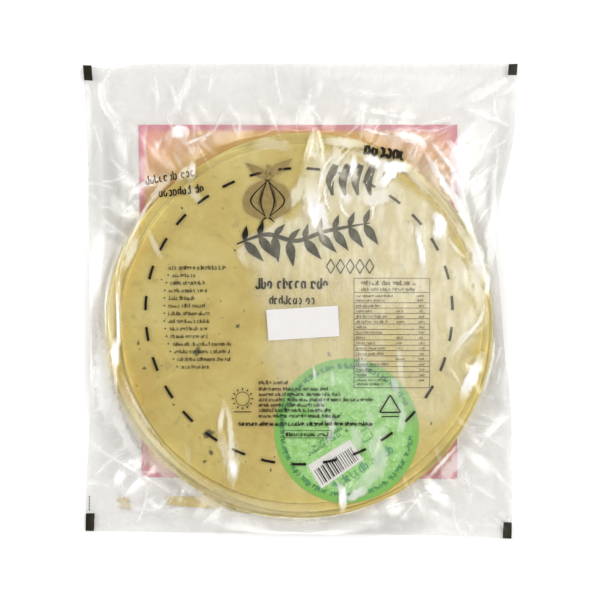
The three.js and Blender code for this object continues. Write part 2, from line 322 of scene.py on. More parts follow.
def bag_outline():
    """The outline as one loop of close points, counter-clockwise."""
    edges = [spline(edge, 400)[:-1] for edge in (TOP_EDGE, RIGHT_EDGE, BOTTOM_EDGE, LEFT_EDGE)]
    return np.vstack(edges)[::-1]


OUTLINE = bag_outline()
_offsets = OUTLINE - STACK_CENTRE
OUTLINE_ANGLES = np.arctan2(_offsets[:, 1], _offsets[:, 0])
OUTLINE_REACH = np.hypot(_offsets[:, 0], _offsets[:, 1])


def polar(x, y):
    """Angle and distance of points seen from the stack's centre."""
    dx, dy = x - STACK_CENTRE[0], y - STACK_CENTRE[1]
    return np.arctan2(dy, dx), np.hypot(dx, dy)


def spoke(x, y):
    """What the film's form needs at each point: its angle and distance, the distance to the
    outline, the margin's width there, how wide that counts (0 to 1) and the seam's height."""
    angle, distance = polar(x, y)
    order = np.argsort(OUTLINE_ANGLES)
    reach = np.interp(angle, OUTLINE_ANGLES[order], OUTLINE_REACH[order], period=2 * np.pi)
    margin = reach - STACK_RADIUS
    wide = smooth_step(MARGIN_NARROW, MARGIN_WIDE, margin)
    ripple = 0.5 * wide * np.sin(9 * angle + 1) + 0.3 * np.sin(17 * angle)
    seam = SEAM_HIGH + (SEAM_LOW - SEAM_HIGH) * wide + ripple
    return angle, distance, reach, margin, wide, seam


def back_height(x, y):
    """Height of the back film: flat below the stack, and rising to the seam."""
    _, distance, reach, _, _, seam = spoke(x, y)
    start = STACK_RADIUS * BACK_FLAT_SHARE
    share = np.clip((distance - start) / (reach - start), 0, 1)
    return FLOOR_GAP + seam * share**BACK_CURVE


def nearest_on_path(x, y, path):
    """Distance of points from a path, and how far along it the nearest spot is (0 to 1)."""
    best = np.full(x.shape, 1e9)
    along = np.zeros(x.shape)
    for i, (a, b) in enumerate(zip(path, path[1:])):
        side = b - a
        share = ((x - a[0]) * side[0] + (y - a[1]) * side[1]) / (side @ side)
        share = np.clip(share, 0, 1)
        distance = np.hypot(x - a[0] - share * side[0], y - a[1] - share * side[1])
        nearer = distance < best
        best = np.where(nearer, distance, best)
        along = np.where(nearer, (i + share) / (len(path) - 1), along)
    return best, along


def within(x, y, path, reach):
    """Which points lie in the path's box, widened by reach."""
    low, high = path.min(0) - reach, path.max(0) + reach
    return (x > low[0]) & (x < high[0]) & (y > low[1]) & (y < high[1])


def add_fold(x, y, height, crease, fold):
    """Adds one fold to the height and crease arrays."""
    points, rise, half_width, sharp = fold
    path = spline(points, 6 * (len(points) - 1) + 1)
    near = within(x, y, path, half_width)
    distance, along = nearest_on_path(x[near], y[near], path)
    taper = np.sqrt(np.sin(np.pi * np.clip(along, 0.03, 0.97)))
    across = np.clip(1 - distance / half_width, 0, 1)
    soft = across * across * (3 - 2 * across)
    height[near] += rise * taper * (sharp * across**1.4 + (1 - sharp) * soft)
    crease[near] = np.maximum(crease[near], taper * across**3 * (0.35 + 0.65 * sharp))


def band(x, y, points, half_width, ragged):
    """How far inside a tapered band along a path each point lies (0 to 1)."""
    path = spline(points, 6 * (len(points) - 1) + 1)
    near = within(x, y, path, 1.6 * half_width)
    distance, along = nearest_on_path(x[near], y[near], path)
    taper = np.sqrt(np.sin(np.pi * np.clip(along, 0.02, 0.98)))
    share = np.zeros(x.shape)
    reach = half_width * (0.4 + 0.6 * taper) * ragged[near]
    share[near] = taper * (1 - smooth_step(0.45, 1, distance / reach))
    return share


def random_folds(rng):
    """Small seeded creases: radial in the wide margins, along the rim where it is narrow, and
    fewer near the top edge."""
    folds = []
    while len(folds) < SMALL_FOLD_COUNT:
        x, y = rng.uniform(-101, 101), rng.uniform(-110, 110)
        angle, distance, reach, _, wide, _ = (float(v) for v in spoke(x, y))
        if distance < STACK_RADIUS - 2 or distance > reach - 3:
            continue
        if y > 86 and rng.random() < 0.6:
            continue
        turn = rng.normal(0, 0.45)
        heading = angle + turn if wide > 0.2 else angle + math.pi / 2 + 0.3 * turn
        half = rng.uniform(3, 13) * (0.5 + 0.5 * wide)
        bend = rng.normal(0, 0.12) * half
        step = half * np.array([math.cos(heading), math.sin(heading)])
        side = bend * np.array([-math.sin(heading), math.cos(heading)])
        middle = np.array([x, y])
        rise = rng.uniform(0.06, 0.26) * (0.35 + 0.65 * wide)
        folds.append(([middle - step, middle + side, middle + step], rise, rng.uniform(1.2, 2.8), 1))
    return folds


def crumple(x, y, rng):
    """Flat facets of unequal tilt, longer along the spokes than across them."""
    angle = rng.uniform(-np.pi, np.pi, FACET_COUNT)
    distance = rng.uniform(60, 155, FACET_COUNT)
    height = rng.normal(0, 1, FACET_COUNT)
    across = 16.0  # stretched units for each radian, so that facets are slim
    along = 0.11
    angles = np.concatenate([angle - 2 * np.pi, angle, angle + 2 * np.pi])
    spots = np.column_stack([angles * across, np.tile(distance, 3) * along])
    heights = np.tile(height, 3)
    points, _, faces, origins, _, _ = delaunay_2d_cdt([Vector(p) for p in spots], [], [], 0, 1e-7)
    corners = [(p.x, p.y, heights[o[0]]) for p, o in zip(points, origins)]
    tree = BVHTree.FromPolygons(corners, faces)
    theta, radius = polar(x, y)
    result = np.zeros(x.size)
    down = Vector((0, 0, -1))
    for i, (a, b) in enumerate(zip(theta.ravel() * across, radius.ravel() * along)):
        hit = tree.ray_cast(Vector((a, b, 50)), down)[0]
        if hit:
            result[i] = hit.z
    return result.reshape(x.shape)


def loose_share(x, y):
    """How loose the film lies over the stack: tight on the left and along the rim, loose on the
    upper right."""
    edge = np.array(LOOSE_EDGE, float)
    wobble = 2 * np.sin(y / 9) + 2 * np.sin(y / 4.1 + 1)
    right = smooth_step(-3, 7, x - np.interp(y, edge[:, 1], edge[:, 0]) + wobble)
    inside = 1 - smooth_step(80, 86, polar(x, y)[1] + wobble / 2)
    return right * inside * smooth_step(-54, -30, y + 0.25 * x + wobble)


def front_form(x, y):
    """Heights of the front film on a grid, how milky it is with its painted highlights and veil, how
    warm that whiteness is, how rumpled the film is, and how grey its painted shade makes it."""
    rng = np.random.default_rng(11)
    angle, distance, _, margin, wide, seam = spoke(x, y)
    top = STACK_HEIGHT + FILM_CLEARANCE
    share = np.clip((distance - STACK_RADIUS) / margin, 0, 1)
    slack = 1.05 + 1.5 * wide
    slope = seam + (top - seam) * (1 - share) ** slack
    pleats = sum(size * np.sin(count * angle + phase) for count, size, phase in PLEATS)
    pleats = 0.65 * wide * np.sin(np.pi * np.sqrt(share)) * pleats
    calm = 1 - smooth_step(0.8, 1, share)
    loose = loose_share(x, y) * (1 - smooth_step(-6, 0, distance - STACK_RADIUS))
    waves = (0.07 * np.sin(x / 3.4 + 1.3 * np.sin(y / 17) + 0.6)
             + 0.04 * np.sin(x / 2.1 + 1.7 * np.sin(y / 11 + 1) + 2)
             + 0.05 * np.sin(y / 5.2 + x / 9)) * loose
    still = 0.05 * np.sin(x / 13 + 0.4) * np.cos(y / 17)
    height = slope + calm * pleats + waves + still
    facets = crumple(x, y, rng)
    outside = smooth_step(-1, 6, distance - STACK_RADIUS)
    height += facets * outside * calm * (0.05 + 0.09 * wide)
    folded, crease = np.zeros(x.shape), np.zeros(x.shape)
    for fold in FOLDS + random_folds(rng):
        add_fold(x, y, folded, crease, fold)
    height += folded * (0.15 + 0.85 * calm) * (1 - 0.45 * outside)
    floor = back_height(x, y) + 0.08 + 0.5 * (1 - smooth_step(0.85, 1, share))
    edge = share >= 1 - 1e-9
    height = np.where(edge, np.maximum(height, back_height(x, y)), np.maximum(height, floor))
    rumple = np.maximum(outside * (0.10 + 0.18 * wide), 0.05 * loose_share(x, y) + 0.03)
    milk_and_glare, warm = milk_and_glare_map(x, y, crease, outside)
    shade = np.zeros(x.shape)
    # Painted shade: grey strips from the shades list
    for points, half_width, strength in SHADES:
        shade = np.maximum(shade, strength * band(x, y, points, half_width, np.ones(x.shape)))
    return height, milk_and_glare, warm, rumple, shade


def clouds(x, y, width, height, seed):
    """Soft noise, about -1 to 1, with features of the given width and height."""
    spots = zip((x / width).ravel(), (y / height).ravel())
    return np.array([noise.fractal(Vector((a, b, seed)), 0.8, 2.0, 3) for a, b in spots]).reshape(x.shape)


def milk_and_glare_map(x, y, crease, outside):
    """How milky the film looks: whitening on creases, partly real and partly standing in for their
    highlights; a thin veil outside the stack; a painted reflection veil on the loose upper right;
    painted highlights in the glares. Also how far that whiteness takes on the bread's colour."""
    uneven = smooth_step(-0.5, 0.9, clouds(x, y, 5, 14, 3))
    ragged = np.clip(1 + 0.45 * clouds(x, y, 2.4, 5, 9), 0.5, 1.5)
    # Whitening on creases, partly real and partly a painted highlight, and a thin milky veil outside the
    # stack
    milk_and_glare = 0.015 + (0.22 + 0.13 * outside) * crease + outside * (0.05 + 0.08 * uneven)
    upper = smooth_step(0, 30, y + 0.5 * x)
    off_label = smooth_step(LABEL_RADIUS - 1, LABEL_RADIUS,
                            np.hypot(x - LABEL_CENTRE[0], y - LABEL_CENTRE[1]))
    # Painted reflection: a brighter veil over the loose film, stronger towards the upper right
    veil = 0.17 + 0.10 * uneven + upper * (0.12 + 0.13 * uneven)
    milk_and_glare += loose_share(x, y) * veil * (0.5 + 0.5 * off_label)
    for points, half_width in CLEARINGS:
        milk_and_glare *= 1 - 0.4 * band(x, y, points, half_width, ragged)
    # Painted highlights, and painted light over shadows, from the glares list
    for points, half_width, strength in GLARES:
        milk_and_glare = np.maximum(milk_and_glare, min(1, 1.15 * strength) * band(x, y, points, half_width, ragged))
    return milk_and_glare, (1 - outside) * (0.2 + 0.8 * off_label) * (1 - smooth_step(0.45, 0.75, milk_and_glare))


# Meshes

def to_metres(points):
    return np.asarray(points, float) * MM


def make_piece(name, points, faces, material, smooth=True, attributes=None):
    """A mesh object from points in millimetres, riding on the part's one body."""
    mesh = bpy.data.meshes.new(name)
    mesh.from_pydata(to_metres(points).tolist(), [], [tuple(int(i) for i in f) for f in faces])
    mesh.validate()
    for key, values in (attributes or {}).items():
        layer = mesh.attributes.new(key, "FLOAT", "POINT")
        layer.data.foreach_set("value", np.asarray(values, np.float32))
    mesh.materials.append(material)
    mesh.polygons.foreach_set("use_smooth", [smooth] * len(mesh.polygons))
    mesh.update()
    piece = bpy.data.objects.new(name, mesh)
    bpy.context.scene.collection.objects.link(piece)
    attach(piece, "root")
    return piece


def grid_faces(rows, columns, wrap=False, first=0):
    """Quads of a grid of points stored row by row, closed round each row if wrap."""
    across = columns if wrap else columns - 1
    r, c = np.meshgrid(np.arange(rows - 1), np.arange(across), indexing="ij")
    a = first + r * columns + c
    b = first + r * columns + (c + 1) % columns
    return np.stack([a, b, b + columns, a + columns], -1).reshape(-1, 4)


def patch_points(corners, rows, columns):
    """A grid of points between four corners given in order round it."""
    a, b, c, d = (np.array(p, float) for p in corners)
    v = np.linspace(0, 1, rows)[:, None, None]
    u = np.linspace(0, 1, columns)[None, :, None]
    return (1 - v) * ((1 - u) * a + u * b) + v * ((1 - u) * d + u * c)


def sheet_points(cells):
    """A grid of points that fills the outline, its border on the four edges."""
    columns, rows = cells[0] + 1, cells[1] + 1
    bottom = spline(BOTTOM_EDGE, columns)[::-1][None]
    top = spline(TOP_EDGE, columns)[None]
    left = spline(LEFT_EDGE, rows)[:, None]
    right = spline(RIGHT_EDGE, rows)[::-1][:, None]
    u = np.linspace(0, 1, columns)[None, :, None]
    v = np.linspace(0, 1, rows)[:, None, None]
    corners = ((1 - u) * (1 - v) * np.array(BOTTOM_LEFT) + u * (1 - v) * np.array(BOTTOM_RIGHT)
               + (1 - u) * v * np.array(TOP_LEFT) + u * v * np.array(TOP_RIGHT))
    grid = (1 - v) * bottom + v * top + (1 - u) * left + u * right - corners
    return grid[..., 0], grid[..., 1]


# Materials

class Shading:
    """A material's node tree, with short calls to add nodes and link them."""

    def __init__(self, name):
        self.material = bpy.data.materials.new(name)
        self.material.use_nodes = True
        self.tree = self.material.node_tree
        self.tree.nodes.clear()
        self.output = self.tree.nodes.new("ShaderNodeOutputMaterial")
        self.place = self.node("ShaderNodeTexCoord").outputs["Object"]

    def node(self, kind, inputs=None, **settings):
        node = self.tree.nodes.new(kind)
        for key, value in settings.items():
            setattr(node, key, value)
        for key, value in (inputs or {}).items():
            if isinstance(value, bpy.types.NodeSocket):
                self.tree.links.new(value, node.inputs[key])
            else:
                node.inputs[key].default_value = value
        return node

    def math(self, operation, first, second=0.0, third=0.0):
        node = self.node("ShaderNodeMath", {0: first, 1: second, 2: third}, operation=operation)
        return node.outputs[0]

    def noise(self, size_mm, detail=2.0, roughness=0.5):
        """Noise from 0 to 1 whose features are about size_mm across."""
        inputs = {"Vector": self.place, "Scale": 1 / (size_mm * MM), "Detail": detail,
                  "Roughness": roughness}
        return self.node("ShaderNodeTexNoise", inputs).outputs["Fac"]

    def ramp(self, value, stops):
        """A colour or grey from a value, by stops of (position, colour)."""
        node = self.node("ShaderNodeValToRGB", {"Fac": value})
        elements = node.color_ramp.elements
        while len(elements) < len(stops):
            elements.new(0.5)
        for element, (position, colour) in zip(elements, stops):
            element.position = position
            element.color = (*colour, 1) if isinstance(colour, tuple) else (colour,) * 3 + (1,)
        return node.outputs["Color"]

    def mix(self, share, first, second, blend="MIX"):
        node = self.node("ShaderNodeMix", data_type="RGBA", blend_type=blend)
        for socket, value in ((node.inputs[0], share), (node.inputs[6], first),
                              (node.inputs[7], second)):
            if isinstance(value, bpy.types.NodeSocket):
                self.tree.links.new(value, socket)
            else:
                socket.default_value = value if isinstance(value, float) else (*value, 1)
        return node.outputs[2]

    def bump(self, height, strength, depth_mm):
        inputs = {"Height": height, "Strength": strength, "Distance": depth_mm * MM}
        return self.node("ShaderNodeBump", inputs).outputs["Normal"]

    def attribute(self, name):
        return self.node("ShaderNodeAttribute", attribute_name=name).outputs["Fac"]

    def principled(self, inputs):
        return self.node("ShaderNodeBsdfPrincipled", inputs).outputs["BSDF"]

    def finish(self, shader):
        self.tree.links.new(shader, self.output.inputs["Surface"])
        return self.material


def film_material(name, tint):
    """Clear film: it mirrors by its angle and turns milky where it is creased. It turns white where
    painted highlights and veil are laid on, and is grey and dull in the strips of painted shade."""
    s = Shading(name)
    milk_and_glare, rumple = s.attribute("milk_and_glare"), s.attribute("rumple")
    facing = s.node("ShaderNodeLayerWeight", {"Blend": 0.5}).outputs["Facing"]
    mirror = s.math("MULTIPLY_ADD", s.math("POWER", facing, 4.0), 0.9, 0.077)
    # Painted shade also turns the mirror down
    mirror = s.math("MULTIPLY", mirror, s.math("MULTIPLY_ADD", s.attribute("shade"), -0.85, 1.0))
    opacity = s.math("MINIMUM", s.math("ADD", mirror, milk_and_glare), 1.0)
    metal = s.math("DIVIDE", mirror, opacity)
    fan = s.node("ShaderNodeCombineXYZ", {"X": s.attribute("fan_turn"), "Y": s.attribute("fan_reach")})
    facets = s.node("ShaderNodeTexVoronoi", {"Vector": fan.outputs[0], "Scale": 1.0},
                    feature="DISTANCE_TO_EDGE").outputs["Distance"]
    relief = s.math("MULTIPLY", facets, rumple)
    relief = s.math("MULTIPLY_ADD", s.noise(1.8, 1), 0.06, relief)
    roughness = s.math("MULTIPLY_ADD", s.noise(9, 0), 0.1, 0.22)
    white = s.mix(s.attribute("warm"), (0.97, 0.965, 0.95), (0.98, 0.94, 0.74))
    body = s.principled({"Base Color": white, "Metallic": metal,
                         "Specular IOR Level": 0.0, "Roughness": roughness,
                         "Normal": s.bump(relief, 1.0, 0.5)})
    # Painted shade: the clear part turns grey in the shade strips
    tinted = s.mix(s.attribute("shade"), tint, (0.68, 0.68, 0.66))
    clear = s.node("ShaderNodeBsdfTransparent", {"Color": tinted}).outputs["BSDF"]
    mixed = s.node("ShaderNodeMixShader", {0: opacity, 1: clear, 2: body}).outputs["Shader"]
    return s.finish(mixed)


def bread_material():
    """Dry pale yellow dough, clouded, with soft olive spots, and rims painted paler and warmer in
    patches: painted light standing in for light through the thin edges.
    """
    s = Shading("bread")
    cloud = s.ramp(s.noise(26, 4, 0.6), [(0.32, (0.50, 0.372, 0.098)), (0.5, (0.545, 0.437, 0.132)),
                                        (0.68, (0.58, 0.49, 0.185))])
    patches = s.ramp(s.noise(6, 3, 0.6), [(0.35, (0.92, 0.91, 0.86)), (0.62, (1.0, 1.0, 1.0))])
    colour = s.mix(0.9, cloud, patches, "MULTIPLY")
    spots = s.ramp(s.noise(5.5, 1, 0.3), [(0.25, 0.55), (0.33, 0.0)])
    colour = s.mix(spots, colour, (0.36, 0.30, 0.10))
    fine = s.ramp(s.noise(1.2, 3, 0.6), [(0.35, (0.93, 0.92, 0.88)), (0.65, (1.0, 1.0, 1.0))])
    colour = s.mix(0.8, colour, fine, "MULTIPLY")
    # Painted light: rims lit paler and whiter than the dough, as if light came through the thin edges
    edge = s.ramp(s.attribute("rim"), [(0.0, (1.0, 1.0, 1.0)), (0.6, (1.04, 1.01, 0.93)),
                                       (0.86, (1.15, 1.07, 0.82)), (0.94, (1.27, 1.24, 1.05)),
                                       (1.0, (1.45, 1.5, 1.6))])
    # Painted light on the rims, laid on in patches
    rim_glow_amount = s.ramp(s.noise(38, 1), [(0.42, 0.15), (0.6, 1.0)])
    colour = s.mix(rim_glow_amount, colour, s.mix(1.0, colour, edge, "MULTIPLY"))
    relief = s.math("ADD", s.noise(3.2, 3), s.math("MULTIPLY", s.noise(0.6, 2), 0.3))
    roughness = s.math("MULTIPLY_ADD", s.noise(3, 2), 0.2, 0.45)
    body = s.principled({"Base Color": colour, "Roughness": roughness,
                         "Normal": s.bump(relief, 0.6, 0.3)})
    return s.finish(body)


def card_material():
    """Printed paper: a pink border, a salmon field and an orange round, faded into each other."""
    s = Shading("card")
    parts = s.node("ShaderNodeSeparateXYZ", {"Vector": s.place})
    x, y = parts.outputs["X"], parts.outputs["Y"]
    dx = s.math("MULTIPLY", s.math("ADD", x, 0.001), 1 / MM)
    dy = s.math("MULTIPLY", s.math("ADD", y, 0.012), 1 / MM)
    distance = s.math("SQRT", s.math("ADD", s.math("MULTIPLY", dx, dx), s.math("MULTIPLY", dy, dy)))
    distance = s.math("MULTIPLY_ADD", s.noise(30, 1), 4.0, distance)
    share = s.math("MULTIPLY_ADD", distance, 1 / 60, -80 / 60)
    field = s.ramp(share, [(0.25, (0.69, 0.43, 0.13)), (0.45, (0.71, 0.38, 0.15)),
                           (0.60, (0.70, 0.28, 0.18)), (0.82, (0.66, 0.22, 0.23))])
    side = s.attribute("border")
    colour = s.mix(side, field, (0.60, 0.175, 0.235))
    body = s.principled({"Base Color": colour, "Roughness": s.math("MULTIPLY_ADD", s.noise(2), 0.1, 0.4),
                         "Normal": s.bump(s.noise(0.4, 3), 0.2, 0.04)})
    return s.finish(body)


def paper_finish(s, colour, roughness):
    """A dull face with a fine tooth."""
    tooth = s.bump(s.noise(0.3, 2), 0.15, 0.03)
    return s.finish(s.principled({"Base Color": colour, "Roughness": roughness,
                                  "Specular IOR Level": 0.15, "Normal": tooth}))


def paper_material(name, colour, darker, size_mm=3.0):
    """Plain paper or ink with faint clouding and a fine tooth."""
    s = Shading(name)
    shade = s.ramp(s.noise(size_mm, 3), [(0.3, darker), (0.7, colour)])
    return paper_finish(s, shade, s.math("MULTIPLY_ADD", s.noise(size_mm / 2, 2), 0.12, 0.44))


def label_material():
    """Green paper, vivid at its rim and mottled with a paler green inside."""
    s = Shading("green_paper")
    mottle = s.ramp(s.noise(5, 4, 0.65), [(0.35, (0.19, 0.47, 0.09)), (0.65, (0.38, 0.64, 0.27))])
    strands = s.ramp(s.noise(1.1, 2, 0.6), [(0.53, 0.0), (0.72, 0.7)])
    mottle = s.mix(strands, mottle, (0.60, 0.77, 0.44))
    rim = s.ramp(s.attribute("reach"), [(0.80, 0.0), (0.93, 1.0)])
    colour = s.mix(rim, mottle, (0.19, 0.44, 0.08))
    return paper_finish(s, colour, s.math("MULTIPLY_ADD", s.noise(3), 0.1, 0.45))


def ink_material(name, colour, veil_colour):
    """Ink painted greyer and paler where the film below it is creased white or carries painted
    highlights: a painted reflection over the print.
    """
    s = Shading(name)
    # Painted reflection: paler towards the veil colour under the film's whitening
    shade = s.mix(s.attribute("milk_and_glare_veil"), colour, veil_colour)
    shade = s.mix(s.ramp(s.noise(2, 3), [(0.3, 0.25), (0.7, 0.0)]), shade, (0.0, 0.0, 0.0))
    return paper_finish(s, shade, s.math("MULTIPLY_ADD", s.noise(1), 0.1, 0.45))


def fleck_material():
    """A dark olive stain, clear at its rim."""
    s = Shading("fleck")
    shade = s.ramp(s.noise(1.5, 2), [(0.35, (0.05, 0.05, 0.02)), (0.65, (0.13, 0.14, 0.05))])
    body = s.principled({"Base Color": shade, "Roughness": s.math("MULTIPLY_ADD", s.noise(1), 0.1, 0.5)})
    clear = s.node("ShaderNodeBsdfTransparent", {"Color": (1, 1, 1, 1)}).outputs["BSDF"]
    cover = s.math("MULTIPLY", s.attribute("fade"), 0.85)
    return s.finish(s.node("ShaderNodeMixShader", {0: cover, 1: clear, 2: body}).outputs["Shader"])


FRONT_FILM = film_material("front_film", (0.995, 0.99, 0.98))
BACK_FILM = film_material("back_film", (0.945, 0.94, 0.93))
BREAD = bread_material()
CARD = card_material()
GREEN_PAPER = label_material()
GREEN_INK = paper_material("green_ink", (0.07, 0.30, 0.09), (0.05, 0.24, 0.07))
TEAL_INK = paper_material("teal_ink", (0.13, 0.36, 0.22), (0.07, 0.26, 0.14), 3)
WHITE_PAPER = paper_material("white_paper", (0.71, 0.69, 0.67), (0.69, 0.67, 0.65), 6)
BLACK_INK = ink_material("black_ink", (0.014, 0.011, 0.006), (0.85, 0.81, 0.64))
BROWN_INK = ink_material("brown_ink", (0.30, 0.22, 0.085), (0.85, 0.81, 0.64))
FLECK = fleck_material()

# Film
front_x, front_y = sheet_points(FRONT_CELLS)
front_z, front_milk_and_glare, front_warm, front_rumple, front_shade = front_form(front_x, front_y)
front_angle, front_distance = polar(front_x, front_y)
front_points = np.stack([front_x, front_y, front_z], -1).reshape(-1, 3)
front_quads = grid_faces(FRONT_CELLS[1] + 1, FRONT_CELLS[0] + 1)
film_front = make_piece("film_front", front_points, front_quads, FRONT_FILM,
                        attributes={"milk_and_glare": front_milk_and_glare.ravel(),
                                    "warm": front_warm.ravel(),
                                    "rumple": front_rumple.ravel(),
                                    "shade": front_shade.ravel(),
                                    "fan_turn": front_angle.ravel() * 22,
                                    "fan_reach": front_distance.ravel() * 0.10})
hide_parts("bag")
FILM_TREE = BVHTree.FromPolygons(front_points.tolist(), front_quads.tolist())
FILM_MILK_AND_GLARE = front_milk_and_glare.ravel()

back_x, back_y = sheet_points(BACK_CELLS)
back_points = np.stack([back_x, back_y, back_height(back_x, back_y)], -1).reshape(-1, 3)
back_quads = grid_faces(BACK_CELLS[1] + 1, BACK_CELLS[0] + 1)[:, ::-1]
make_piece("film_back", back_points, back_quads, BACK_FILM,
           attributes={"milk_and_glare": np.full(len(back_points), 0.04)})


def film_at(x, y):
    """Height of the front film's mesh over one point, and how milky it is there."""
    for inward in (1, 0.995, 0.98):
        spot = Vector((x * inward, y * inward, 60))
        hit, _, index, _ = FILM_TREE.ray_cast(spot, Vector((0, 0, -1)))
        if hit:
            return hit.z, float(FILM_MILK_AND_GLARE[front_quads[index]].mean())
    return SEAM_LOW, 0.0


class Print:
    """Printed shapes that lie on the film's face and follow it. Each is a ribbon along a path,
    as wide as its list of widths says, cut into small cells."""

    cell = 0.9

    def __init__(self):
        self.spots = []
        self.faces = []

    def ribbon(self, path, widths, smooth=True):
        path = np.array(path, float)
        length = np.hypot(*np.diff(path, axis=0).T).sum()
        count = max(2, int(math.ceil(length / self.cell)) + 1)
        if smooth and len(path) > 2:
            count = max(count, 2 * len(path))
            path = spline(path, count)
        else:
            steps = np.linspace(0, len(path) - 1, count)
            path = np.column_stack([np.interp(steps, range(len(path)), path[:, k]) for k in (0, 1)])
        ahead = np.gradient(path, axis=0)
        ahead /= np.maximum(np.hypot(*ahead.T), 1e-9)[:, None]
        side = np.column_stack([-ahead[:, 1], ahead[:, 0]])
        widths = np.interp(np.linspace(0, 1, count), np.linspace(0, 1, len(widths)), widths)
        across = max(2, int(math.ceil(max(widths) / self.cell)) + 1)
        share = np.linspace(0.5, -0.5, across)
        points = path[:, None] + side[:, None] * (widths[:, None] * share)[..., None]
        self.faces.extend(grid_faces(count, across, first=len(self.spots)).tolist())
        self.spots.extend(points.reshape(-1, 2).tolist())

    def line(self, a, b, width):
        self.ribbon([a, b], [width, width])

    def outline(self, corners, width):
        """Straight lines from corner to corner, closed."""
        for a, b in zip(corners, corners[1:] + corners[:1]):
            self.line(a, b, width)

    def patch(self, corners):
        """A filled four-sided field, corners in order round it."""
        a, b, _, d = (np.array(p, float) for p in corners)
        rows = max(2, int(np.hypot(*(d - a)) / self.cell) + 2)
        columns = max(2, int(np.hypot(*(b - a)) / self.cell) + 2)
        self.faces.extend(grid_faces(rows, columns, first=len(self.spots)).tolist())
        self.spots.extend(patch_points(corners, rows, columns).reshape(-1, 2).tolist())

    def dot(self, centre, radius, sides=14):
        first = len(self.spots)
        self.spots.append(list(centre))
        for i in range(sides):
            turn = 2 * math.pi * i / sides
            self.spots.append([centre[0] + radius * math.cos(turn), centre[1] + radius * math.sin(turn)])
        self.faces.extend([first, first + 1 + i, first + 1 + (i + 1) % sides] for i in range(sides))

    def ring(self, centre, radius, width):
        turns = np.radians(np.linspace(0, 360, 37))
        path = np.column_stack([centre[0] + radius * np.cos(turns), centre[1] + radius * np.sin(turns)])
        self.ribbon(path, [width, width])

    def words(self, start, end, size, rng, weight=0.16):
        """A straight row of small unreadable marks in word-like groups."""
        start, end = np.array(start, float), np.array(end, float)
        length = np.hypot(*(end - start))
        ahead = (end - start) / length
        up = np.array([-ahead[1], ahead[0]])
        self.marks(length, size, rng, weight, lambda along, high: start + ahead * along + up * high)

    def curved_words(self, centre, radius, start, end, size, rng, weight=0.16):
        """The same along a circle, clockwise from the start angle to the end angle."""
        length = math.radians(start - end) * radius

        def place(along, high):
            turn = math.radians(start) - along / radius
            reach = radius + high
            return np.array([centre[0] + reach * math.cos(turn), centre[1] + reach * math.sin(turn)])

        self.marks(length, size, rng, weight, place)

    def marks(self, length, size, rng, weight, place):
        """Groups of marks over a length, each set down by the function place."""
        at = 0.0
        while at < length - size * 0.6:
            for _ in range(rng.integers(3, 9)):
                if at + size * 0.6 > length:
                    break
                self.mark(at, size, rng, weight, place)
                at += size * 0.56
            at += size * 0.4

    def mark(self, at, size, rng, weight, place):
        """One mark: a hook, and often a bar beside it."""
        wide, high = 0.17 * size, 0.34 * size
        first = rng.uniform(0, 2 * math.pi)
        turns = np.linspace(first, first + rng.uniform(3.0, 5.4), 6)
        hook = [place(at + wide + wide * math.cos(t), high + high * math.sin(t)) for t in turns]
        stroke = size * weight
        self.ribbon(hook, [stroke, stroke])
        if rng.random() < 0.55:
            side = at + rng.choice([0.0, 2 * wide])
            self.line(place(side, 0), place(side, size * rng.choice([0.7, 1.0])), stroke)

    def make(self, name, material, height_at=None, lift=0.05):
        """Lays the shapes on the film, or on the surface that height_at gives."""
        if height_at:
            rows = [(height_at(x, y), 0.0) for x, y in self.spots]
        else:
            rows = [film_at(x, y) for x, y in self.spots]
        points = [(x, y, height + lift) for (x, y), (height, _) in zip(self.spots, rows)]
        # Painted reflection: the film's milkiness and painted highlights veil the ink
        milk_and_glare = np.maximum(np.array([milk_and_glare for _, milk_and_glare in rows]) - 0.06, 0)
        milk_and_glare_veil = 0.5 * milk_and_glare + 0.5 * smooth_step(0.4, 0.9, milk_and_glare)
        faces = [upward(points, face) for face in self.faces]
        return make_piece(name, points, faces, material, attributes={"milk_and_glare_veil": milk_and_glare_veil})


def upward(points, face):
    """The face with its corners in the order that makes it look up."""
    a, b, c = (np.array(points[i]) for i in face[:3])
    return face if np.cross(b - a, c - a)[2] > 0 else face[::-1]


# Stack of breads
BREAD_COUNT = 15
BREAD_THICKNESS = 0.5
BREAD_BASE = 0.42
WAVE_ROOM = 0.08
BREAD_PITCH = (STACK_HEIGHT - BREAD_BASE - WAVE_ROOM - BREAD_THICKNESS) / (BREAD_COUNT - 1)
# Offset of each bread from the stack's centre and its radius, bottom one first
BREADS = [(-1.2, -1.6, 88.6), (2.6, -1.4, 89.2), (-3.2, -1.8, 88.8), (1.8, -3.2, 89),
          (2.9, 0.2, 89), (-3.4, -1.2, 88.4), (0.4, -3.6, 88.6), (3.3, -1, 88.6),
          (1.8, 2.4, 88.2), (-3.6, -1.8, 87.9), (2.4, -2.4, 88.1), (1.5, 3, 87.2),
          (-3, -0.4, 87.4), (2.2, -1.4, 87.2), (1.2, 0.1, 85.2)]


def stack_wave(x, y):
    """Slow waves that all breads share."""
    return 0.12 * np.sin(x / 21 + 0.5) * np.cos(y / 26) + 0.06 * np.sin((x + y) / 14)


def bread_top(x, y):
    return BREAD_BASE + (BREAD_COUNT - 1) * BREAD_PITCH + BREAD_THICKNESS + stack_wave(x, y)


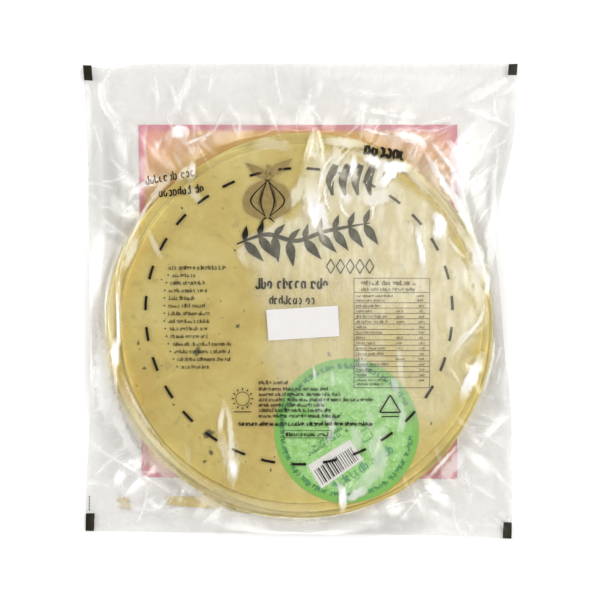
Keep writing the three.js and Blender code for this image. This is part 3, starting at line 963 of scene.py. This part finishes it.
def make_bread(index, spec, rng):
    dx, dy, radius = spec
    sides = 180
    turns = np.arange(sides) * 2 * np.pi / sides
    uneven = 1 + 0.004 * np.sin(2 * turns + rng.uniform(0, 6))
    uneven += 0.003 * np.sin(3 * turns + rng.uniform(0, 6))
    uneven += 0.0016 * np.sin(9 * turns + rng.uniform(0, 6)) + rng.normal(0, 0.0007, sides)
    rim = radius * uneven
    top = index == BREAD_COUNT - 1
    inner = np.linspace(0.02, 0.88, 40) if top else np.array([0.05, 0.5, 0.8])
    shares = np.concatenate([inner, [0.9, 0.93, 0.955, 0.975, 0.985, 0.993, 1.0]])
    low = BREAD_BASE + index * BREAD_PITCH
    centre = STACK_CENTRE + np.array([dx, dy])
    rings, rims = [], []
    profile = [(s, BREAD_THICKNESS) for s in shares] + [(1.003, BREAD_THICKNESS / 2)]
    profile += [(s, 0.0) for s in shares[::-1]]
    curl = rng.normal(0, 0.05, 3)
    for share, level in profile:
        x = centre[0] + share * rim * np.cos(turns)
        y = centre[1] + share * rim * np.sin(turns)
        edge = max(0.0, (min(share, 1) - 0.9) / 0.1)
        bend = edge**2 * (curl[0] * np.sin(turns * 2) + curl[1] * np.cos(turns * 3))
        rings.append(np.column_stack([x, y, low + level + stack_wave(x, y) + bend]))
        rims.append(np.full(sides, edge))
    points = np.vstack(rings)
    faces = grid_faces(len(profile), sides, wrap=True).tolist()
    rim_share = np.concatenate(rims)
    for ring, height in ((0, BREAD_THICKNESS), (len(profile) - 1, 0.0)):
        centre_index = len(points)
        points = np.vstack([points, [[*centre, low + height + float(stack_wave(*centre))]]])
        rim_share = np.append(rim_share, 0)
        first = ring * sides
        for i in range(sides):
            corners = [centre_index, first + i, first + (i + 1) % sides]
            faces.append(corners if ring == 0 else corners[::-1])
    return make_piece(f"papadum_{index + 1:02d}", points, faces, BREAD,
                      attributes={"rim": rim_share})


rng = np.random.default_rng(5)
for i, spec in enumerate(BREADS):
    make_bread(i, spec, rng)

# Dark flecks in the top bread
FLECKS = [(-43.4, -62.7, 3.2), (-42.4, -71.7, 1.9), (-45.3, -75.9, 1.4), (-49, -24, 2.6),
          (-76.6, -19.9, 1.3), (-73.8, -31.8, 1.3), (-29.6, -11.9, 1.5), (13.6, -25.2, 1.7),
          (-7.3, -6.2, 1.2), (47.8, 17.1, 1.9), (51.2, 37.5, 1.4), (-56, 44, 1), (-31, 24, 0.9),
          (30, 55, 1.2), (-14, -80, 1), (62, -58, 1), (-60, -49, 0.9)]


def make_flecks():
    """Uneven dark stains that fade out at their rims."""
    rng = np.random.default_rng(21)
    points, faces, fades = [], [], []
    sides = 12
    spread = [(rng.uniform(-80, 80), rng.uniform(-92, 70), rng.uniform(0.25, 0.6)) for _ in range(160)]
    for x, y, size in FLECKS + spread:
        if np.hypot(x - STACK_CENTRE[0], y - STACK_CENTRE[1]) > 85:
            continue
        first = len(points)
        turn = rng.uniform(0, math.pi)
        reach = size * rng.uniform(0.7, 1.3, sides)
        points.append((x, y))
        fades.append(1.0)
        for share, fade in ((0.5, 0.85), (1.0, 0.0)):
            for i in range(sides):
                angle = 2 * math.pi * i / sides
                u, v = share * reach[i] * math.cos(angle), 0.65 * share * reach[i] * math.sin(angle)
                points.append((x + u * math.cos(turn) - v * math.sin(turn),
                               y + u * math.sin(turn) + v * math.cos(turn)))
                fades.append(fade)
        for i in range(sides):
            a, b = first + 1 + i, first + 1 + (i + 1) % sides
            faces.extend([[first, a, b], [a, a + sides, b + sides, b]])
    points = [(x, y, float(bread_top(x, y)) + 0.03) for x, y in points]
    make_piece("bread_flecks", points, faces, FLECK, attributes={"fade": fades})


make_flecks()

# Card behind the stack
CARD_CORNERS = [(-75.7, -84.1), (74.9, -84.9), (74.9, 84.1), (-77.1, 84.1)]
CARD_LIFT = 0.16


def make_card():
    rows, columns = 85, 77
    x, y = np.moveaxis(patch_points(CARD_CORNERS, rows, columns), -1, 0)
    z = back_height(x, y) + CARD_LIFT
    u, v = np.linspace(0, 1, columns), np.linspace(0, 1, rows)[:, None]
    width, length = 151, 167  # near enough to tell how far the nearest side is
    side = np.minimum(np.minimum(u, 1 - u) * width, np.minimum(v, 1 - v) * length)
    low_end = 0.75 * (1 - smooth_step(-84, -58, y))
    border = np.maximum(1 - smooth_step(1.6, 3.2, side), low_end)
    points = np.stack([x, y, z], -1).reshape(-1, 3)
    make_piece("card", points, grid_faces(rows, columns), CARD,
               attributes={"border": border.ravel()})


make_card()

# Round label and the sticker on it
STICKER = [(10.1, -88.8), (29.8, -75), (23.5, -65.5), (3.4, -77.8)]
LABEL_ROWS = [((4.5, -73.5), (21, -62.6)), ((6, -70), (20.5, -60.4)), ((15, -57.5), (21.5, -53.2))]
LABEL_LIFT = 0.1
LABEL_SQUARE = [(30, -67), (34.6, -64.2), (31.8, -59.8), (27.4, -62.8)]


def label_height(x, y):
    return float(bread_top(x, y)) + LABEL_LIFT


def make_label():
    sides, shares = 120, np.linspace(0.02, 1, 30)
    turns = np.arange(sides) * 2 * np.pi / sides
    x = LABEL_CENTRE[0] + LABEL_RADIUS * shares[:, None] * np.cos(turns)
    y = LABEL_CENTRE[1] + LABEL_RADIUS * shares[:, None] * np.sin(turns)
    z = bread_top(x, y) + LABEL_LIFT
    points = np.stack([x, y, z], -1).reshape(-1, 3)
    faces = grid_faces(len(shares), sides, wrap=True).tolist()
    middle = len(points)
    points = np.vstack([points, [[*LABEL_CENTRE, label_height(*LABEL_CENTRE)]]])
    faces += [[middle, i, (i + 1) % sides] for i in range(sides)]
    reach = np.append(np.repeat(shares, sides), 0)
    make_piece("round_label", points, faces, GREEN_PAPER, attributes={"reach": reach})
    marks = Print()
    rng = np.random.default_rng(3)
    marks.curved_words(LABEL_CENTRE, 29.6, 355, 20, 2.6, rng, 0.25)
    for start, end in LABEL_ROWS:
        marks.words(start, end, 2.2, rng, 0.17)
    marks.outline(LABEL_SQUARE, 0.35)
    marks.make("label_marks", GREEN_INK, label_height, 0.05)
    title = Print()
    title.words((16.8, -89.4), (46.5, -70.0), 4.4, rng, 0.15)
    title.make("label_title", TEAL_INK, label_height, 0.05)
    sticker = Print()
    sticker.patch(STICKER)
    sticker.make("bar_sticker", WHITE_PAPER, label_height, 0.1)
    bars = Print()
    a, b, c, d = (np.array(p) for p in STICKER)
    at = 0.07
    while at < 0.93:
        width = rng.choice([0.35, 0.5, 0.8])
        low = a + (b - a) * at
        high = d + (c - d) * at
        bars.line(low + (high - low) * 0.1, low + (high - low) * 0.72, width)
        at += (width + rng.choice([0.45, 0.6, 0.85])) / np.hypot(*(b - a))
    bars.make("sticker_bars", BLACK_INK, label_height, 0.15)


make_label()

# Print on the film
RING_CENTRE = np.array([-0.6, -4.6])
RING_RADIUS = 72.6
RING_TOP = 67.4  # the ring's upper half is flatter
DASH_COUNT = 31
DASH_LENGTH = 6.8
DASH_WIDTH = 1.25


def ring_point(turn):
    """The ring's point at an angle from its centre."""
    tall = RING_TOP if math.sin(turn) > 0 else RING_RADIUS
    reach = 1 / math.hypot(math.cos(turn) / RING_RADIUS, math.sin(turn) / tall)
    return RING_CENTRE + reach * np.array([math.cos(turn), math.sin(turn)])


def print_dashes():
    ink = Print()
    half = DASH_LENGTH / 2 / RING_RADIUS
    for i in range(DASH_COUNT):
        turn = -math.pi / 2 + i * 2 * math.pi / DASH_COUNT
        path = [ring_point(turn + half * share) for share in (-1, -0.5, 0, 0.5, 1)]
        ink.ribbon(path, [DASH_WIDTH, DASH_WIDTH])
    ink.make("print_dashes", BLACK_INK)


INDEX_MARKS = [
    [(-103, 105.2), (-98.9, 105), (-99.5, 112.3), (-103.6, 112.4)],
    [(98.9, 107.7), (103.1, 107.6), (103.6, 113.1), (99.4, 112.9)],
    [(-102.4, -109.6), (-98.4, -109.7), (-98, -101.2), (-102.3, -101.2)],
    [(96.5, -113.1), (100.7, -113.3), (100.8, -105.5), (96.9, -105.3)],
]


def print_index_marks():
    ink = Print()
    for corners in INDEX_MARKS:
        ink.patch(corners)
    ink.make("print_index_marks", BLACK_INK)


def print_table():
    ink = Print()
    left, right, top, bottom = 25.4, 61.2, 10.8, -41.0
    thin, pitch = 0.26, 2.51
    for x in (left, right):
        ink.line((x, bottom), (x, top), thin)
    levels = [top, 4.1, -0.8] + [-0.8 - pitch * i for i in range(1, 15)] + [bottom]
    for y in levels:
        ink.line((left, y), (right, y), thin)
    rng = np.random.default_rng(8)
    ink.words((left + 3.5, 7.6), (right - 5, 7.6), 2.3, rng, 0.15)
    ink.words((left + 3.5, 4.8), (right - 6, 4.8), 1.7, rng, 0.12)
    for y in (1.9, -0.2):
        ink.words((left + 1, y), (left + rng.uniform(15, 23), y), 1.2, rng)
        ink.words((right - 6, y), (right - 1.5, y), 1.2, rng)
    for i in range(15):
        y = -2.8 - pitch * i
        ink.words((left + 1, y), (left + rng.uniform(6, 17), y), 1.3, rng, 0.14)
        if rng.random() < 0.6:
            ink.words((left + 20, y), (left + rng.uniform(23, 25), y), 1.2, rng, 0.14)
        ink.words((right - 5, y), (right - 2, y), 1.2, rng, 0.14)
    ink.words((left + 1, -39.8), (left + 14, -39.8), 1.3, rng, 0.14)
    ink.make("print_table", BLACK_INK)


LIST_ROWS = [(-62.5, -49.1), (-63.3, -44.3), (-64.1, -42.9), (-64.3, -49.1), (-64.3, -44.3),
             (-64.3, -41.9), (-64.3, -42.4), (-63.9, -42.4), (-63.2, -43.4), (-62.4, -31.5),
             (-61.5, -32), (-60, -30.5), (-58.3, -42.9)]
LIST_TOP = 12.3
LIST_PITCH = 3.61


def print_list():
    ink = Print()
    rng = np.random.default_rng(14)
    ink.words((-62.1, 14.9), (-34.5, 14.9), 2.1, rng, 0.17)
    for i, (left, right) in enumerate(LIST_ROWS):
        y = LIST_TOP - LIST_PITCH * i
        ink.dot((left, y), 0.4, 8)
        ink.words((left + 2, y - 0.9), (right, y - 0.9), 1.9, rng, 0.17)
    ink.make("print_list", BLACK_INK)


NOTE_ROWS = [(-39.3, -5), (-42.3, 14), (-44.8, 20), (-47.4, 36), (-49.9, 12), (-52.4, 15), (-55.1, 20)]


def print_notes():
    ink = Print()
    rng = np.random.default_rng(31)
    for y, right in NOTE_ROWS:
        ink.words((-19.6, y), (right, y), 1.8, rng, 0.19)
    ink.words((-29.1, -58.9), (35.5, -58.9), 2.0, rng, 0.24)
    ink.words((-7.2, -63.9), (13.6, -63.9), 1.9, rng, 0.22)
    ink.outline([(-8.2, -61.2), (14.6, -61.2), (14.6, -64.7), (-8.2, -64.7)], 0.25)
    for i in range(5):
        ink.line((-100.9, -93.4 - 1.5 * i), (-100.2, -93.4 - 1.5 * i), 0.8)
    ink.make("print_notes", BLACK_INK)


def print_symbols():
    """A triangle and a ring with rays, each over a short line."""
    ink = Print()
    ink.outline([(42.5, -44.4), (37.6, -52.6), (47.4, -52.6)], 0.7)
    ink.line((38.5, -54.6), (46.6, -54.6), 0.5)
    centre = np.array([-27.3, -46.2])
    for turn in np.radians(np.arange(0, 360, 30.0)):
        out = np.array([math.cos(turn), math.sin(turn)])
        ink.ribbon([centre + out * 3.9, centre + out * 5.2], [0.25, 0.7, 0.25])
    ink.ring(centre, 3.2, 0.3)
    ink.line((-31.5, -52.4), (-23.2, -52.4), 0.45)
    ink.make("print_symbols", BLACK_INK)


def leaf(ink, base, tip, width):
    """A leaf as one blade that is widest before its middle."""
    base, tip = np.array(base, float), np.array(tip, float)
    ink.ribbon([base, tip], [0.15, 0.8 * width, width, 0.75 * width, 0.4 * width, 0.1])


SCROLL_STEM = [(-30, 27), (-16, 31.5), (-2, 28.5), (12, 33), (33, 37)]
SCROLL_LEAVES = 9


def print_scroll():
    """A dark scroll of leaves across the middle."""
    ink = Print()
    stem = spline(SCROLL_STEM, 10 * SCROLL_LEAVES)
    ink.ribbon(stem, [0.6, 2.2, 2.0, 1.8, 0.5])
    for i in range(SCROLL_LEAVES):
        root = 5 + 10 * i
        ahead = stem[min(root + 3, len(stem) - 1)] - stem[root - 3]
        ahead /= np.hypot(*ahead)
        side = np.array([-ahead[1], ahead[0]])
        leaf(ink, stem[root], stem[root] + 5 * ahead - (12.5 - 0.2 * i) * side, 4.6)
        leaf(ink, stem[root], stem[root] + 4 * ahead + 6.5 * side, 3.0)
    ink.make("print_scroll", BLACK_INK)


def print_headings():
    """Rows of marks and simple shapes where the bag carries its larger print."""
    ink = Print()
    rng = np.random.default_rng(77)
    ink.words((-21.0, 5.9), (15.5, 5.9), 5.0, rng, 0.19)
    ink.words((-14.4, -1.4), (8.9, -1.4), 4.0, rng, 0.17)
    ink.words((30.5, 69.4), (51.5, 66.4), 6.0, rng, 0.26)
    ink.words((-73.0, 55.2), (-47.6, 59.6), 4.0, rng, 0.17)
    ink.words((-66.6, 49.2), (-43.8, 51.8), 4.0, rng, 0.17)
    for i in range(5):
        x = 14.4 + i * 4.6
        ink.outline([(x - 2, 16.4), (x, 19.8), (x + 2, 16.4), (x, 13)], 0.5)
    ink.make("print_headings", BLACK_INK)
    stripes = Print()
    for i in range(4):
        x = 14.5 + i * 6
        stripes.ribbon([(x + 2.2, 64.5), (x - 0.4, 57), (x + 0.8, 50)], [3.0, 4.2, 1.2])
    stripes.make("print_stripes", BLACK_INK)


BULB_BASE = np.array([-15.5, 38.5])


def print_emblem():
    """A brown garlic bulb with two leaves."""
    ink = Print()
    for side in (-1, 1, 0):
        belly = BULB_BASE + (7.2 * side, 9)
        neck = BULB_BASE + (0.6 * side, 19)
        ink.ribbon([BULB_BASE + (2.0 * side, 1), belly, neck], [2.5, 9.0, 7.5, 1.6])
    ink.ribbon([BULB_BASE + (0, 18), BULB_BASE + (0.6, 22), BULB_BASE + (0.2, 26)], [3.0, 2.0, 1.4])
    leaf(ink, BULB_BASE + (0.5, 21), BULB_BASE + (12, 29), 4.4)
    leaf(ink, BULB_BASE + (-0.2, 20), BULB_BASE + (-10.5, 27), 4.2)
    ink.make("print_emblem", BROWN_INK)
    lines = Print()
    for side in (-1, 1):
        for bow in (3.2, 8.0):
            lines.ribbon([BULB_BASE + (1.0 * side, 1.5), BULB_BASE + (bow * side, 9),
                          BULB_BASE + (0.5 * side, 18)], [0.3, 0.8, 0.3])
        lines.ribbon([BULB_BASE + (0.8 * side, 1), BULB_BASE + (3.4 * side, -1.4)], [0.9, 0.3])
    lines.make("print_emblem_lines", BLACK_INK, lift=0.09)


for lay_print in (print_dashes, print_index_marks, print_table, print_list, print_notes,
                  print_symbols, print_scroll, print_headings, print_emblem):
    lay_print()

WHITE_FIELD = [(-15.1, -18.7), (18.5, -16.6), (17.8, -2.2), (-16.1, -4.2)]
field = Print()
field.patch(WHITE_FIELD)
field.make("white_field", WHITE_PAPER, lift=0.12)

# Broken bits between the films at the lower left, each an outline
BIT_LIFT = 0.35
FILM_GAP = 0.1
BITS = [
    [(-64.3, -93.6), (-59.5, -92.8), (-52.4, -93.5), (-45.3, -92.4), (-39.6, -92.9), (-30, -96.7),
     (-21, -99.4), (-19, -100.5), (-25, -101.4), (-33, -100.2), (-37, -98), (-42.9, -98.8),
     (-50, -98.2), (-57.1, -97.8), (-63.3, -96.9)],
    [(-86.9, -94.2), (-84, -93.6), (-81.6, -95.4), (-80.7, -98.6), (-82.8, -99.6), (-85.9, -98.2)],
]


def make_bits():
    points, faces = [], []
    for outline in BITS:
        sides = len(outline)
        first = len(points)
        for level in (BIT_LIFT, BIT_LIFT + BREAD_THICKNESS):
            for x, y in outline:
                height = float(back_height(np.array(x), np.array(y))) + level
                points.append((x, y, min(height, film_at(x, y)[0] - FILM_GAP)))
        faces.append(list(range(first, first + sides)))
        faces.append(list(range(first + 2 * sides - 1, first + sides - 1, -1)))
        for i in range(sides):
            j = (i + 1) % sides
            faces.append([first + i, first + sides + i, first + sides + j, first + j])
    # Painted light: the bits take the paler rim colour all over
    make_piece("papadum_bits", points, faces, BREAD, smooth=False,
               attributes={"rim": np.full(len(points), 0.95)})


make_bits()


# Stage, lights and camera
def make_floor():
    s = Shading("floor")
    tone = s.ramp(s.noise(200, 1), [(0.3, 0.93), (0.7, 0.95)])
    material = s.finish(s.principled({"Base Color": tone, "Roughness": 0.8}))
    mesh = bpy.data.meshes.new("floor")
    half = 3.0
    mesh.from_pydata([(-half, -half, 0), (half, -half, 0), (half, half, 0), (-half, half, 0)], [],
                     [(0, 1, 2, 3)])
    mesh.materials.append(material)
    floor = bpy.data.objects.new("floor", mesh)
    bpy.context.scene.collection.objects.link(floor)


def add_softbox(name, place, size, power, aim=(0, 0, 0)):
    data = bpy.data.lights.new(name, "AREA")
    data.shape = "RECTANGLE"
    data.size, data.size_y = size
    data.energy = power
    light = bpy.data.objects.new(name, data)
    light.location = place
    light.rotation_euler = (Vector(aim) - Vector(place)).to_track_quat("-Z", "Y").to_euler()
    light.visible_camera = False
    bpy.context.scene.collection.objects.link(light)


PIXEL = 0.475  # millimetres of the part for each pixel of the frame
FRAME_PIXELS = 600
FRAME_WIDTH = FRAME_PIXELS * PIXEL * MM
LENS = 150.0
SENSOR = 36.0
SCALE_HEIGHT = 6.0  # height above the table at which the pixel size holds


def add_camera():
    data = bpy.data.cameras.new("camera")
    data.lens = LENS
    data.sensor_width = SENSOR
    data.clip_end = 10
    camera = bpy.data.objects.new("camera", data)
    camera.location = (-0.14 * MM, 0.5 * MM, FRAME_WIDTH * LENS / SENSOR + SCALE_HEIGHT * MM)
    bpy.context.scene.collection.objects.link(camera)
    bpy.context.scene.camera = camera


def add_world():
    """Soft light from all sides, with a dark place overhead that flat film mirrors, and bright
    below so that the underside can be seen where the floor is left out."""
    world = bpy.data.worlds.new("world")
    world.use_nodes = True
    nodes, links = world.node_tree.nodes, world.node_tree.links
    background = nodes["Background"]
    background.inputs["Color"].default_value = (1, 1, 1, 1)
    direction = nodes.new("ShaderNodeTexCoord")
    parts = nodes.new("ShaderNodeSeparateXYZ")
    ramp = nodes.new("ShaderNodeValToRGB")
    links.new(direction.outputs["Generated"], parts.inputs[0])
    links.new(parts.outputs["Z"], ramp.inputs["Fac"])
    links.new(ramp.outputs["Color"], background.inputs["Strength"])
    levels = [(0.0, 0.6), (0.01, 0.023), (0.3, 0.023), (0.45, 0.046), (0.80, 0.046), (0.95, 0.014)]
    elements = ramp.color_ramp.elements
    while len(elements) < len(levels):
        elements.new(0.5)
    for element, (position, level) in zip(elements, levels):
        element.position = position
        element.color = (level, level, level, 1)
    bpy.context.scene.world = world


make_floor()
add_world()
add_softbox("veil_box", (0.455, 0.06, 1.3), (0.91, 0.28), 1.3, (0.455, 0.06, 0))
add_softbox("corner_box", (0.95, 0.90, 1.1), (0.8, 0.8), 9.5)
add_softbox("right_box", (1.25, 0.1, 1.1), (0.6, 1.0), 12.5)
add_softbox("left_box", (-1.5, 0.3, 0.95), (0.8, 1.2), 21)
add_softbox("top_box", (-0.3, 1.7, 0.9), (1.2, 0.7), 12)
add_softbox("bottom_box", (0.1, -1.7, 0.9), (1.2, 0.7), 20.5)
add_camera()
bpy.context.scene.view_settings.view_transform = "Standard"
bpy.context.scene.cycles.transparent_max_bounces = 24
